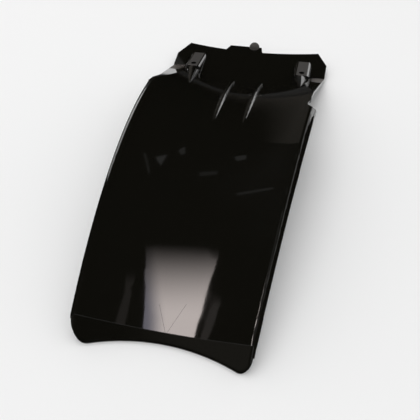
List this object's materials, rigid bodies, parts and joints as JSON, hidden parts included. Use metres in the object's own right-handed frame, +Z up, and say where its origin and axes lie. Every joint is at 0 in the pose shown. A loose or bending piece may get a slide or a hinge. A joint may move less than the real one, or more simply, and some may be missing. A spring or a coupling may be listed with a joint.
{
  "type": "mud flap",
  "caption": "Moulded plastic mud flap: a saddle-shaped panel curved about a wheel, with rolled side rims, a bent lip, ribs and a flat head with screw lugs, a tab and a locating knob.",
  "frame": {"origin": "middle of the part's box at the height of the table that it lies on", "axes": "+Y along the part from the lip to the head, +Z up out of the ribbed side, +X to the side with the scallop"},
  "size_m": [0.158, 0.3812, 0.0491],
  "materials": {
    "flap_plastic": "glossy moulded black"
  },
  "bodies": {
    "root": {"mud_flap": "flap_plastic"}
  },
  "joints": []
}
